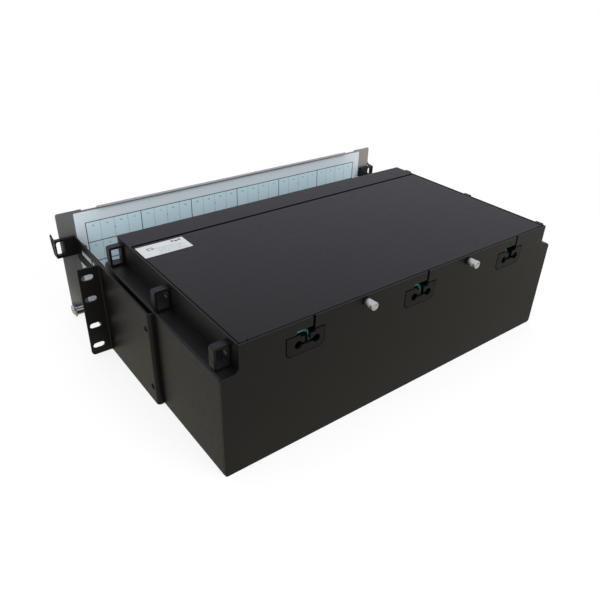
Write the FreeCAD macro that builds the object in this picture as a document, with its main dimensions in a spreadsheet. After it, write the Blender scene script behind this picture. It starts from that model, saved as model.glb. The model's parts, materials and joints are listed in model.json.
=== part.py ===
import FreeCAD, Part
import math
import os
import re
import Sketcher

# Fibre patch panel, 19-inch rack, three units high. Front faces -Y, up is +Z, millimetres.
# The origin is on the underside of the floor, midway between the sides, in the plane where
# the rack ears bear on the rack posts. Right is +X, as seen from the front.

sizes = {
    # sheet-metal housing
    "body_half": 213.0,
    "deck_inset": 16.5,
    "body_height": 130.0,
    "ledge_drop": 25.5,
    "wall": 1.5,
    "bend": 2.2,
    "rear_depth": 229.0,
    "seam": 0.4,
    "tray_depth": 75.0,
    "tray_side": 18.0,
    "tray_lip": 5.0,
    # forward arms
    "arm_clearance": 0.7,
    "arm_height": 27.0,
    "arm_drop": 7.0,
    "arm_corner": 4.0,
    "strap_rise": 9.7,
    "strap_slot": 8.3,
    "strap_start": 36.0,
    "strap_length": 43.0,
    # rear panel and grommets
    "panel_flange": 12.0,
    "flange_low": 8.0,
    "flange_drop": 8.5,
    "panel_corner": 3.0,
    "notch_corner": 4.0,
    "grommet_inset": 78.2,
    "grommet_shift": -2.5,
    "grommet_width": 40.5,
    "grommet_drop": 12.0,
    "grommet_height": 20.0,
    "grommet_corner": 6.0,
    "grommet_lap": 2.0,
    "grommet_play": 0.3,
    "side_slack": 1.1,
    "top_slack": 1.3,
    "grommet_thick": 1.6,
    "cable_hole": 7.4,
    "holes_apart": 18.6,
    "holes_shift": -2.2,
    "hole_rise": 9.3,
    "link_slot": 2.6,
    "throat": 5.2,
    "mouth": 15.0,
    "mouth_depth": 2.2,
    "entry_slit": 2.6,
    "entry_shift": -8.5,
    "notch_width": 19.0,
    "notch_rise": 3.0,
    # front frame
    "strip_depth": 31.3,
    "joggle": 10.0,
    "joggle_drop": 4.5,
    "joggle_gap": 0.3,
    # adaptors and caps
    "column_inset": 46.5,
    "last_row_drop": 16.5,
    "first_row": 16.0,
    "module_gap": 3.0,
    "module_plate": 2.0,
    "window_margin": 5.0,
    "window_height": 13.0,
    "duplex_play": 0.5,
    "duplex_gap": 1.4,
    "duplex_height": 9.4,
    "duplex_front": 9.0,
    "duplex_rear": 18.0,
    "cap_length": 4.0,
    "cap_margin": 1.6,
    "cap_height": 6.4,
    "cap_tab": 2.0,
    # top cover and its label
    "cover_flange": 11.0,
    "side_flange": 8.0,
    "flange_inset": 8.0,
    "cover_relief": 1.2,
    "cover_bend": 1.0,
    "cover_play": 1.0,
    "cover_gap": 3.2,
    "screw_slot": 5.2,
    "label_long": 50.0,
    "label_short": 24.5,
    "label_thick": 0.2,
    "label_edge": 0.3,
    "label_back": 4.0,
    # thumbscrews
    "screw_inset": 78.2,
    "screw_drop": 5.1,
    "stem_radius": 2.0,
    "stem_length": 7.0,
    "collar_radius": 3.8,
    "collar_length": 1.8,
    "spigot_radius": 3.0,
    "screw_gap": 0.1,
    "knob_radius": 3.5,
    "knob_length": 7.0,
    "disc_radius": 4.0,
    "disc_length": 2.8,
    "disc_recess": 1.1,
    "disc_rim": 1.1,
    "running_gap": 0.05,
    # rack ears
    "ear_reach": 22.1,
    "ear_standoff": 4.2,
    "ear_thick": 2.0,
    "ear_bend": 1.5,
    "ear_low": 0.6,
    "ear_drop": 0.5,
    "ear_depth": 114.0,
    "ear_corner": 4.0,
    "ear_nose": 1.5,
    "slot_inset": 8.75,
    "slot_pair": 57.15,
    "slot_step": 25.0,
    "first_slot": 11.1,
    "slot_width": 6.6,
    "slot_length": 12.4,
    "bracket_screw": 2.0,
    "bracket_head": 3.0,
    "head_height": 0.9,
    "spacer_radius": 4.5,
    "nut_radius": 3.6,
    "nut_height": 2.4,
    "screw_front": 9.0,
    "screw_back": 105.0,
    "screw_low": 18.0,
    "high_screw_drop": 19.5,
    # front door
    "door_over": 16.5,
    "door_drop": 2.0,
    "door_low": 1.5,
    "door_offset": 4.2,
    "door_flange": 4.8,
    "dip_inset": 46.5,
    "door_relief": 18.0,
    "relief_depth": 1.8,
    "door_lug": 4.8,
    "door_bend": 1.0,
    "lug_notch": 1.2,
    "sheet_play": 1.2,
    "sheet_low": 8.0,
    "sheet_drop": 3.5,
    "sheet_thick": 0.4,
    "door_gap": 0.3,
    # hinge
    "hinge_depth": 87.3,
    "hinge_height": 9.5,
    "lug_radius": 3.8,
    "pin_radius": 2.0,
    "pin_shoulder": 2.7,
    "pin_rivet": 3.4,
    "pin_head": 6.0,
    "head_length": 2.4,
    "side_play": 0.4,
    # cord guides and magnets
    "guide_depth": 4.6,
    "guide_rise": 8.0,
    "guide_height": 21.5,
    "guide_block": 13.5,
    "guide_window": 8.8,
    "window_rise": 3.5,
    "window_drop": 2.0,
    "window_corner": 2.4,
    "guide_lip": 1.6,
    "lip_reach": 10.0,
    "lip_tip": 2.5,
    "lip_frame": 2.0,
    "guide_corner": 1.2,
    "magnet_radius": 3.5,
    "magnet_length": 8.0,
    "magnet_rise": 15.5,
    "magnet_foot": 5.0,
    "magnet_stand": 1.0,
    # cable rings
    "ring_depth": 8.0,
    "ring_inset": 1.4,
    "ring_drop": 4.5,
    "ring_wall": 2.4,
    "ring_corner": 2.6,
    "ring_slit": 1.0,
    "slit_rise": 11.0,
    "ring_rear": 11.5,
    "ring_front": 9.5,
    "ring_screw": 1.5,
    "ring_head": 2.2,
    "ring_screw_drop": 10.4,
    # splice trays
    "tray_long": 168.0,
    "tray_wide": 118.0,
    "tray_pitch": 11.0,
    "tray_skin": 1.6,
    "tray_corner": 22.0,
    "stack_clear": 17.0,
    "stack_depth": 116.0,
    "stack_base": 7.0,
    "hub_radius": 19.0,
    "hub_inset": 38.0,
    "hub_drop": 3.0,
    "comb_long": 38.0,
    "comb_wide": 24.0,
    "comb_rib": 1.6,
    "stud_radius": 2.5,
    "stud_inset": 10.0,
    "stud_foot": 5.5,
    "stud_gap": 0.3,
    "lid_thick": 1.5,
    "wing_nut": 4.5,
    "wing_reach": 10.0,
    "wing_height": 8.0,
    # tie rail and fibre tubes
    "rail_inset": 26.5,
    "rail_rear": 17.0,
    "rail_width": 20.0,
    "rail_gap": 3.0,
    "rail_slot": 9.0,
    "rail_slot_width": 3.5,
    "rail_pitch": 22.0,
    "tube_radius": 1.5,
    "loop_half": 16.0,
    "loop_shift": 5.0,
    "loop_drop": 17.5,
    "loop_bend": 8.0,
    "loop_back": 7.0,
}

rows = 4
columns = 6
duplexes = 4
rings_per_side = 3
trays_per_stack = 4
rail_slots = 17
comb_ribs = 6
same_place = 1e-4

doc = FreeCAD.newDocument("patch_panel")
sheet = doc.addObject("Spreadsheet::Sheet", "Sizes")
for row, (alias, value) in enumerate(sizes.items(), start=1):
    sheet.set(f"A{row}", str(value))
    sheet.setAlias(f"A{row}", alias)
doc.recompute()


# Shared helpers

def with_sheet(text):
    """Write the sheet's name before each alias in an expression."""
    return re.sub(r"[a-z]+(?:_[a-z]+)*", lambda found: "Sizes." + found[0], text)


def number(text):
    return float(sheet.evalExpression(text))


def bind(item, prop, text):
    item.setExpression(prop, with_sheet(text))


def new_body(label):
    body = doc.addObject("PartDesign::Body", label)
    body.Label = label
    return body


def new_sketch(body, plane, at="0"):
    """Start a sketch on a body's origin plane, moved along the plane's normal."""
    sketch = body.newObject("Sketcher::SketchObject", "profile")
    origin_plane = next(item for item in body.Origin.OriginFeatures if item.Role == plane + "_Plane")
    sketch.AttachmentSupport = [(origin_plane, "")]
    sketch.MapMode = "FlatFace"
    bind(sketch, ".AttachmentOffset.Base.z", at)
    return sketch


def fix_point(sketch, curve, end, x_text, y_text):
    for kind, text in (("DistanceX", x_text), ("DistanceY", y_text)):
        rule = sketch.addConstraint(Sketcher.Constraint(kind, -1, 1, curve, end, number(text)))
        sketch.setExpression(f"Constraints[{rule}]", with_sheet(text))


def spot(x_text, y_text):
    return FreeCAD.Vector(number(x_text), number(y_text), 0)


def close_loop(sketch, first, count):
    for i in range(count):
        sketch.addConstraint(Sketcher.Constraint("Coincident", first + i, 2, first + (i + 1) % count, 1))


def add_outline(sketch, points):
    """Draw a closed outline of straight lines with every corner bound to the sheet."""
    first = sketch.GeometryCount
    count = len(points)
    for i in range(count):
        sketch.addGeometry(Part.LineSegment(spot(*points[i]), spot(*points[(i + 1) % count])))
    close_loop(sketch, first, count)
    for i, (x, y) in enumerate(points):
        fix_point(sketch, first + i, 1, x, y)


def add_box(sketch, x_low, x_high, y_low, y_high):
    add_outline(sketch, [(x_low, y_low), (x_high, y_low), (x_high, y_high), (x_low, y_high)])


def add_circle(sketch, x, y, radius):
    curve = sketch.addGeometry(Part.Circle(spot(x, y), FreeCAD.Vector(0, 0, 1), number(radius)))
    fix_point(sketch, curve, 3, x, y)
    rule = sketch.addConstraint(Sketcher.Constraint("Radius", curve, number(radius)))
    sketch.setExpression(f"Constraints[{rule}]", with_sheet(radius))


def add_slot(sketch, x, y, length, width):
    """Draw a slot with round ends, lying along the sketch's X axis."""
    reach = f"({length} - {width}) / 2"
    left, right = f"{x} - {reach}", f"{x} + {reach}"
    low, high = f"{y} - {width} / 2", f"{y} + {width} / 2"
    up = FreeCAD.Vector(0, 0, 1)
    quarter = math.pi / 2
    radius = number(f"{width} / 2")
    first = sketch.addGeometry(Part.LineSegment(spot(left, low), spot(right, low)))
    sketch.addGeometry(Part.ArcOfCircle(Part.Circle(spot(right, y), up, radius), -quarter, quarter))
    sketch.addGeometry(Part.LineSegment(spot(right, high), spot(left, high)))
    sketch.addGeometry(Part.ArcOfCircle(Part.Circle(spot(left, y), up, radius), quarter, 3 * quarter))
    close_loop(sketch, first, 4)
    for curve, level, ends in ((first, low, (left, right)), (first + 2, high, (right, left))):
        for end, side in enumerate(ends, start=1):
            fix_point(sketch, curve, end, side, level)
    for curve, side in ((first + 1, right), (first + 3, left)):
        rule = sketch.addConstraint(Sketcher.Constraint("DistanceX", -1, 1, curve, 3, number(side)))
        sketch.setExpression(f"Constraints[{rule}]", with_sheet(side))


def add_feature(body, kind, sketch, length, reverse, both):
    before = 0 if body.Tip is None else body.Shape.Volume
    feature = body.newObject("PartDesign::" + kind, kind.lower())
    feature.Profile = sketch
    bind(feature, "Length", length)
    feature.Reversed = reverse
    feature.Midplane = both
    doc.recompute()
    if kind == "Pocket" and not body.Shape.Volume < before:
        raise RuntimeError(f"{body.Label}: a pocket cuts nothing")
    return feature


def pad(body, sketch, length, reverse=False, both=False):
    return add_feature(body, "Pad", sketch, length, reverse, both)


def pocket(body, sketch, length, reverse=False, both=False):
    return add_feature(body, "Pocket", sketch, length, reverse, both)


def repeat(body, feature, sketch, length, count):
    """Repeat a feature along the sketch's X axis over the given length."""
    pattern = body.newObject("PartDesign::LinearPattern", "pattern")
    pattern.Originals = [feature]
    pattern.Direction = (sketch, ["H_Axis"])
    bind(pattern, "Length", length)
    pattern.Occurrences = count
    body.Tip = pattern
    doc.recompute()


def turn(body, plane, axis, points):
    """Revolve a half profile about the sketch's own horizontal or vertical axis."""
    sketch = new_sketch(body, plane)
    add_outline(sketch, points)
    feature = body.newObject("PartDesign::Revolution", "revolution")
    feature.Profile = sketch
    feature.ReferenceAxis = (sketch, [axis])
    feature.Angle = 360
    doc.recompute()


def round_edges(body, axis, spots, radius):
    """Round the straight edges that run along an axis through the given places."""
    along = "XYZ".index(axis)
    others = [i for i in range(3) if i != along]
    targets = [(number(a), number(b)) for a, b in spots]
    base = body.Tip
    names = []
    for i, edge in enumerate(base.Shape.Edges, start=1):
        low, high = edge.Vertexes[0].Point, edge.Vertexes[-1].Point
        if edge.Curve.TypeId != "Part::GeomLine" or (low - high).Length < same_place:
            continue
        if any(abs(low[k] - high[k]) > same_place for k in others):
            continue
        if any(abs(low[others[0]] - a) + abs(low[others[1]] - b) < same_place for a, b in targets):
            names.append(f"Edge{i}")
    if not names:
        raise RuntimeError(f"{body.Label}: no edge to round")
    feature = body.newObject("PartDesign::Fillet", "fillet")
    feature.Base = (base, names)
    bind(feature, "Radius", radius)
    doc.recompute()


def place(item, **places):
    for axis, text in places.items():
        bind(item, f".Placement.Base.{axis}", text)
    doc.recompute()


def mirrored(source, label):
    item = doc.addObject("Part::Mirroring", label)
    item.Label = label
    item.Source = source
    item.Normal = FreeCAD.Vector(1, 0, 0)
    doc.recompute()
    return item


def group(label, members):
    item = doc.addObject("Part::Compound", label)
    item.Label = label
    item.Links = members
    doc.recompute()
    return item


def copies(label, source, spots):
    """One node of equal separate solids, each moved from the source's own place."""
    item = doc.addObject("Part::Feature", label)
    item.Label = label
    solids = []
    for x, y, z in spots:
        solid = source.Shape.copy()
        solid.translate(FreeCAD.Vector(number(x), number(y), number(z)))
        solids.append(solid)
    item.Shape = Part.makeCompound(solids)
    return item


def both_sides(x, y):
    return [(x, y), (f"-({x})", y)]


def flipped(points):
    """The same stretch of an outline on the other side, in the order that joins on."""
    return [(f"-({x})", y) for x, y in reversed(points)]


nodes = []


def keep(*items):
    nodes.extend(items)


# Places that several pieces share

inside_half = "(body_half - wall)"
deck_half = "(body_half - deck_inset)"
deck_inside = f"({deck_half} - wall)"
shell_end = "(rear_depth - wall - seam)"
panel_inside = "(rear_depth - wall)"
strip_end = "(strip_depth - wall - seam)"
ledge = "(body_height - ledge_drop)"
flange_top = f"({ledge} - flange_drop)"
arm_top = f"({ledge} - arm_drop)"
arm_low = f"({arm_top} - arm_height)"
strap_low = f"({arm_low} + strap_rise)"
guide_low = f"({arm_low} + guide_rise)"
guide_top = f"({guide_low} + guide_height)"
window_low = f"({guide_low} + window_rise)"
window_top = f"({guide_top} - window_drop)"
magnet_height = f"({arm_low} + magnet_rise)"
row_pitch = f"(({ledge} - first_row - last_row_drop) / {rows - 1})"
module_height = f"({row_pitch} - module_gap)"
column_pitch = f"(2 * ({inside_half} - column_inset) / {columns - 1})"
module_width = f"({column_pitch} - module_gap)"
window_width = f"({module_width} - window_margin)"
duplex_pitch = f"({window_width} / {duplexes} - duplex_play)"
duplex_width = f"({duplex_pitch} - duplex_gap)"
cap_width = f"({duplex_width} - cap_margin)"
door_half = "(body_half + door_over)"
door_top = "(body_height - door_drop)"
door_flange_half = f"({door_half} - dip_inset)"
sheet_half = f"({inside_half} - sheet_play)"
sheet_top = f"({door_top} - sheet_drop)"
rail_half = f"({inside_half} - rail_inset)"
rail_centre = "(rear_depth - rail_rear)"
grommet_pitch = "(body_half - grommet_inset)"
screw_apart = "(body_half - screw_inset)"
stack_offset = "((body_half - stack_clear) / 2)"
door_inner = "(hinge_depth + door_offset)"
arm_end = f"({door_inner} - arm_clearance)"
ear_outer = "(body_half + ear_standoff + ear_thick)"
ear_edge = f"({ear_outer} + ear_reach)"
ear_top = f"({ledge} - ear_drop)"
screw_high = f"({ear_top} - high_screw_drop)"
grommet_high = "(body_height - grommet_drop)"
grommet_low = f"({grommet_high} - grommet_height)"
hole_height = f"({grommet_low} + hole_rise)"
screw_height = "(body_height - screw_drop)"
ring_top = "(body_height - ring_drop)"
ring_screw_height = f"({ring_top} - ring_screw_drop)"
rear_ring = "(rear_depth - ring_rear - ring_depth / 2)"
ring_pitch = f"(({rear_ring} - ring_front) / {rings_per_side - 1})"
ring_middles = [f"({rear_ring} - {i} * {ring_pitch})" for i in range(rings_per_side)]
grommet_middles = [f"({i} * {grommet_pitch} + grommet_shift)" for i in (1, 0, -1)]
bracket_spots = [(y, z) for y in ("screw_front", "screw_back") for z in ("screw_low", screw_high)]


# Housing: one folded sheet with the stepped section, the patch-cord tray, arms and hinge lugs

housing = new_body("housing")
step_right = [
    (deck_half, "body_height"),
    (deck_half, ledge),
    ("body_half", ledge),
    ("body_half", "0"),
]
step_inside = [
    (inside_half, "wall"),
    (inside_half, f"{ledge} - wall"),
    (deck_inside, f"{ledge} - wall"),
    (deck_inside, "body_height"),
]
section = new_sketch(housing, "XZ")
add_outline(section, step_right + flipped(step_right) + flipped(step_inside) + step_inside)
pad(housing, section, shell_end, reverse=True)

tray_section = new_sketch(housing, "XZ")
side_outside = [("body_half", "tray_side"), ("body_half", "0")]
side_inside = [(inside_half, "wall"), (inside_half, "tray_side")]
add_outline(tray_section, side_outside + flipped(side_outside) + flipped(side_inside) + side_inside)
pad(housing, tray_section, "tray_depth")

lip = new_sketch(housing, "XY", "wall")
add_box(lip, f"-{inside_half} + wall", f"{inside_half} - wall", "-tray_depth", "wall - tray_depth")
pad(housing, lip, "tray_lip")

for side, inward in (("body_half", True), ("-body_half", False)):
    arm = new_sketch(housing, "YZ", side)
    add_box(arm, f"-{arm_end}", "0", arm_low, arm_top)
    pad(housing, arm, "wall", reverse=inward)
    lug = new_sketch(housing, "YZ", side)
    lug_low, lug_high = "hinge_height - lug_radius", "hinge_height + lug_radius"
    add_box(lug, "-hinge_depth - lug_radius", "-tray_depth", lug_low, lug_high)
    pad(housing, lug, "wall", reverse=inward)

side_cuts = new_sketch(housing, "YZ")
add_box(side_cuts, "-strap_start - strap_length", "-strap_start", strap_low, f"{strap_low} + strap_slot")
add_circle(side_cuts, "-hinge_depth", "hinge_height", "pin_radius + running_gap")
for y, z in bracket_spots:
    add_circle(side_cuts, y, z, "bracket_screw + running_gap")
for y in ring_middles:
    add_circle(side_cuts, y, ring_screw_height, "ring_screw + running_gap")
pocket(housing, side_cuts, "2 * body_half + 2 * wall", both=True)

strip_seat = new_sketch(housing, "YZ")
add_box(strip_seat, "-wall", strip_end, "body_height - wall", "body_height + wall")
pocket(housing, strip_seat, "2 * body_half", both=True)

round_edges(housing, "Y", both_sides("body_half", "0") + both_sides("body_half", ledge), "bend")
lug_tips = [("-hinge_depth - lug_radius", level) for level in (lug_low, lug_high)]
round_edges(housing, "X", lug_tips, "lug_radius - running_gap")
round_edges(housing, "X", [(f"-{arm_end}", arm_low), (f"-{arm_end}", arm_top)], "arm_corner")
keep(housing)


# Rear panel: stepped plate over the housing's rear edges, with side flanges inside the walls

rear_panel = new_body("rear_panel")
behind = "-rear_depth - wall"
plate = new_sketch(rear_panel, "XZ", "-rear_depth")
add_outline(plate, step_right + flipped(step_right))
pad(rear_panel, plate, "wall")
round_edges(rear_panel, "Y", both_sides(deck_half, ledge), "notch_corner")
panel_corners = both_sides("body_half", "0") + both_sides("body_half", ledge)
round_edges(rear_panel, "Y", panel_corners, "panel_corner")
for side, inward in ((inside_half, True), (f"-{inside_half}", False)):
    flange = new_sketch(rear_panel, "YZ", side)
    add_box(flange, f"{panel_inside} - panel_flange", panel_inside, "flange_low", flange_top)
    pad(rear_panel, flange, "wall", reverse=inward)
for middle in grommet_middles:
    left, right = f"{middle} - grommet_width / 2", f"{middle} + grommet_width / 2"
    opening = new_sketch(rear_panel, "XZ", behind)
    add_box(opening, left, right, grommet_low, grommet_high)
    pocket(rear_panel, opening, "3 * wall", reverse=True)
    round_edges(rear_panel, "Y", [(left, grommet_low), (right, grommet_low)], "grommet_corner")
    slit_left = f"{middle} + entry_shift - entry_slit / 2"
    slit = new_sketch(rear_panel, "XZ", behind)
    add_outline(slit, [
        (slit_left, f"{grommet_high} - wall"),
        (f"{slit_left} + notch_width", f"{grommet_high} - wall"),
        (f"{slit_left} + notch_width", f"{grommet_high} + notch_rise"),
        (f"{slit_left} + entry_slit", f"{grommet_high} + notch_rise"),
        (f"{slit_left} + entry_slit", "body_height + wall"),
        (slit_left, "body_height + wall"),
    ])
    pocket(rear_panel, slit, "3 * wall", reverse=True)
screw_holes = new_sketch(rear_panel, "XZ", behind)
for x, z in both_sides(f"{screw_apart} / 2", screw_height):
    add_circle(screw_holes, x, z, "spigot_radius + running_gap")
pocket(rear_panel, screw_holes, "3 * wall", reverse=True)
keep(rear_panel)


# Front frame: adaptor plate folded back into the fixed top strip. A joggled tongue behind
# the strip carries the front edge of the cover.

front_frame = new_body("front_frame")
frame_half = f"({inside_half} - joggle_gap)"
tongue_half = f"({deck_inside} - seam)"
tongue_top = "(body_height - wall - joggle_drop)"
tongue_end = f"({strip_end} + joggle)"
fold = new_sketch(front_frame, "YZ")
add_outline(fold, [
    ("-wall", ledge),
    ("0", ledge),
    ("0", "body_height - wall"),
    (f"{strip_end} - wall", "body_height - wall"),
    (f"{strip_end} - wall", f"{tongue_top} - wall"),
    (tongue_end, f"{tongue_top} - wall"),
    (tongue_end, tongue_top),
    (strip_end, tongue_top),
    (strip_end, "body_height"),
    ("-wall", "body_height"),
])
pad(front_frame, fold, f"2 * {tongue_half}", both=True)
strip = new_sketch(front_frame, "XY", "body_height")
add_box(strip, f"-{deck_half}", deck_half, "-wall", strip_end)
pad(front_frame, strip, "wall", reverse=True)
face = new_sketch(front_frame, "XZ")
add_box(face, f"-{frame_half}", frame_half, "wall + joggle_gap", ledge)
pad(front_frame, face, "wall")
windows = new_sketch(front_frame, "XZ", "2 * wall")
column_left = f"(({1 - columns}) * {column_pitch} / 2)"
for i in range(rows):
    level = f"(first_row + {i} * {row_pitch})"
    window_left, window_right = f"{column_left} - {window_width} / 2", f"{column_left} + {window_width} / 2"
    add_box(windows, window_left, window_right, f"{level} - window_height / 2", f"{level} + window_height / 2")
window_cut = pocket(front_frame, windows, "3 * wall")
repeat(front_frame, window_cut, windows, f"{columns - 1} * {column_pitch}", columns)
round_edges(front_frame, "X", [("-wall", "body_height")], "bend")
keep(front_frame)


# Adaptor modules: a small plate with four duplex adaptors, four modules to a column

module = new_body("adaptor_module")
module_face = new_sketch(module, "XZ", "wall")
half_wide, half_high = f"{module_width} / 2", f"{module_height} / 2"
add_box(module_face, f"-{half_wide}", half_wide, f"-{half_high}", half_high)
pad(module, module_face, "module_plate")
port_face = "(wall + duplex_front)"
duplex_middles = [f"({i} - {(duplexes - 1) / 2}) * {duplex_pitch}" for i in range(duplexes)]
duplex_face = new_sketch(module, "XZ", port_face)
for centre in duplex_middles:
    left, right = f"{centre} - {duplex_width} / 2", f"{centre} + {duplex_width} / 2"
    add_box(duplex_face, left, right, "-duplex_height / 2", "duplex_height / 2")
pad(module, duplex_face, "duplex_front + wall + duplex_rear", reverse=True)

cap = new_body("dust_cap")
cap_face = new_sketch(cap, "XZ", port_face)
add_box(cap_face, f"-{cap_width} / 2", f"{cap_width} / 2", "-cap_height / 2", "cap_height / 2")
pad(cap, cap_face, "cap_length")
cap_grip = new_sketch(cap, "XZ", f"{port_face} + cap_length")
add_box(cap_grip, f"-{cap_width} / 4", f"{cap_width} / 4", "-cap_tab / 2", "cap_tab / 2")
pad(cap, cap_grip, "cap_tab")

cap_spots = []
for column in range(columns):
    x = f"({column} - {(columns - 1) / 2}) * {column_pitch}"
    module_spots = [(x, "0", f"first_row + {i} * {row_pitch}") for i in range(rows)]
    keep(copies(f"adaptor_column_{column + 1}", module, module_spots))
    for centre in duplex_middles:
        cap_spots += [(f"{x} + {centre}", y, z) for _, y, z in module_spots]
keep(copies("dust_caps", cap, cap_spots))


# Top cover: flat lid with turned-down edges, the rear one slotted, and its bare label

top_cover = new_body("top_cover")
cover_half = f"({deck_inside} - cover_play)"
cover_front = f"({strip_end} + cover_gap)"
cover_rear = f"({panel_inside} - cover_play)"
rear_half = f"({cover_half} - flange_inset)"
lid = new_sketch(top_cover, "XY", "body_height")
lid_right = [
    (cover_half, cover_front),
    (cover_half, cover_rear),
    (f"{rear_half} + cover_relief", cover_rear),
    (f"{rear_half} + cover_relief", f"{cover_rear} - cover_relief"),
    (rear_half, f"{cover_rear} - cover_relief"),
    (rear_half, cover_rear),
]
add_outline(lid, lid_right + flipped(lid_right))
pad(top_cover, lid, "wall", reverse=True)
for side, inward in ((cover_half, True), (f"-{cover_half}", False)):
    turned = new_sketch(top_cover, "YZ", side)
    side_low = "body_height - side_flange"
    turned_rear = f"{cover_rear} - flange_inset"
    add_box(turned, f"{tongue_end} + joggle_gap", turned_rear, side_low, "body_height - wall")
    pad(top_cover, turned, "wall", reverse=inward)
front_flange = new_sketch(top_cover, "XZ", f"-{cover_front}")
flange_foot = f"{tongue_top} + joggle_gap"
add_box(front_flange, f"-{cover_half}", cover_half, flange_foot, "body_height - wall")
pad(top_cover, front_flange, "wall", reverse=True)
rear_flange = new_sketch(top_cover, "XZ", f"-{cover_rear}")
add_box(rear_flange, f"-{rear_half}", rear_half, "body_height - cover_flange", "body_height - wall")
pad(top_cover, rear_flange, "wall")
screw_slots = new_sketch(top_cover, "XZ", f"-{cover_rear} - wall")
for x in (f"-{screw_apart} / 2", f"{screw_apart} / 2"):
    slot_low, slot_high = "body_height - cover_flange - wall", f"{screw_height} + screw_slot / 2"
    add_box(screw_slots, f"{x} - screw_slot / 2", f"{x} + screw_slot / 2", slot_low, slot_high)
pocket(top_cover, screw_slots, "3 * wall", reverse=True)
round_edges(top_cover, "Y", both_sides(cover_half, "body_height"), "cover_bend")
round_edges(top_cover, "X", [(cover_rear, "body_height")], "cover_bend")

cover_label = doc.addObject("Part::Box", "cover_label")
cover_label.Label = "cover_label"
bind(cover_label, "Length", "label_long")
bind(cover_label, "Width", "label_short")
bind(cover_label, "Height", "label_thick")
label_left = f"{cover_half} - label_edge - label_long"
place(cover_label, x=label_left, y=f"{cover_front} + label_back", z="body_height")
keep(top_cover, cover_label)


# Rear grommets: flush inserts with two cable holes, a link between them and a T-shaped mouth,
# let in with more room at the top and at one side

def make_grommet(label, middle):
    insert = new_body(label)
    half = "(grommet_width / 2)"
    left, right, low = f"grommet_play - {half}", f"{half} - side_slack", f"{grommet_low} + grommet_play"
    top = f"{grommet_high} - top_slack"
    outer = new_sketch(insert, "XZ", "-rear_depth")
    add_box(outer, left, right, low, top)
    pad(insert, outer, "wall")
    round_edges(insert, "Y", [(left, low), (right, low)], "grommet_corner - grommet_play")
    lap = new_sketch(insert, "XZ", f"-{panel_inside}")
    lap_low = f"{grommet_low} - grommet_lap"
    add_box(lap, f"-{half} - grommet_lap", f"{half} + grommet_lap", lap_low, top)
    pad(insert, lap, "grommet_thick")
    lap_corners = [(f"{side}({half} + grommet_lap)", lap_low) for side in ("", "-")]
    round_edges(insert, "Y", lap_corners, "grommet_corner + grommet_lap")
    first_hole, last_hole = "holes_shift - holes_apart / 2", "holes_shift + holes_apart / 2"
    through = "2 * wall + grommet_thick + wall"
    cable_holes = new_sketch(insert, "XZ", behind)
    for x in (first_hole, last_hole):
        add_circle(cable_holes, x, hole_height, "cable_hole / 2")
    pocket(insert, cable_holes, through, reverse=True)
    above = f"{grommet_high} + wall"
    link_low, link_high = f"{hole_height} - link_slot / 2", f"{hole_height} + link_slot / 2"
    cuts = [
        (first_hole, last_hole, link_low, link_high),
        ("holes_shift - throat / 2", "holes_shift + throat / 2", hole_height, above),
        ("holes_shift - mouth / 2", "holes_shift + mouth / 2", f"{top} - mouth_depth", above),
    ]
    for box in cuts:
        cut = new_sketch(insert, "XZ", behind)
        add_box(cut, *box)
        pocket(insert, cut, through, reverse=True)
    place(insert, x=middle)
    return insert


for number_from_right, middle in enumerate(grommet_middles, start=1):
    keep(make_grommet(f"cable_grommet_{number_from_right}", middle))


# Thumbscrews in pressed collars

collar = new_body("collar")
bore = "stem_radius + running_gap"
collar_end = "rear_depth + collar_length"
turn(collar, "XY", "V_Axis", [
    (bore, panel_inside),
    ("spigot_radius", panel_inside),
    ("spigot_radius", "rear_depth"),
    ("collar_radius", "rear_depth"),
    ("collar_radius", collar_end),
    (bore, collar_end),
])
place(collar, x=f"{screw_apart} / 2", z=screw_height)
keep(group("thumbscrew_collars", [collar, mirrored(collar, "collar_left")]))

thumbscrew = new_body("thumbscrew_right")
knob_start = f"({collar_end} + screw_gap)"
disc_start = f"({knob_start} + knob_length)"
disc_end = f"({disc_start} + disc_length)"
turn(thumbscrew, "XY", "V_Axis", [
    ("0", f"{knob_start} - stem_length"),
    ("stem_radius", f"{knob_start} - stem_length"),
    ("stem_radius", knob_start),
    ("knob_radius", knob_start),
    ("knob_radius", disc_start),
    ("disc_radius", f"{disc_start} + disc_length / 3"),
    ("disc_radius", disc_end),
    ("disc_radius - disc_rim", disc_end),
    ("disc_radius - disc_rim", f"{disc_end} - disc_recess"),
    ("0", f"{disc_end} - disc_recess"),
])
place(thumbscrew, x=f"{screw_apart} / 2", z=screw_height)
keep(thumbscrew, mirrored(thumbscrew, "thumbscrew_left"))


# Rack ears: stand-off plate folded out to the slotted flange and in to the housing side

ear = new_body("ear_bracket_right")
plan = new_sketch(ear, "XY", "ear_low")
add_outline(plan, [
    (ear_edge, "-ear_thick"),
    (ear_edge, "0"),
    (ear_outer, "0"),
    (ear_outer, "ear_depth"),
    ("body_half", "ear_depth"),
    ("body_half", "ear_depth - ear_thick"),
    (f"{ear_outer} - ear_thick", "ear_depth - ear_thick"),
    (f"{ear_outer} - ear_thick", "-ear_thick"),
])
pad(ear, plan, f"{ear_top} - ear_low")
rack_slots = new_sketch(ear, "XZ", "2 * ear_thick")
for rise in ("0", "slot_step", "slot_pair", "slot_pair + slot_step"):
    add_slot(rack_slots, f"{ear_edge} - slot_inset", f"first_slot + {rise}", "slot_length", "slot_width")
pocket(ear, rack_slots, "3 * ear_thick")
ear_holes = new_sketch(ear, "YZ", f"{ear_outer} + ear_thick")
for y, z in bracket_spots:
    add_circle(ear_holes, y, z, "bracket_screw + running_gap")
pocket(ear, ear_holes, "3 * ear_thick")
bend_outsides = [(f"{ear_outer} - ear_thick", "-ear_thick"), (ear_outer, "ear_depth")]
bend_insides = [(ear_outer, "0"), (f"{ear_outer} - ear_thick", "ear_depth - ear_thick")]
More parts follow.
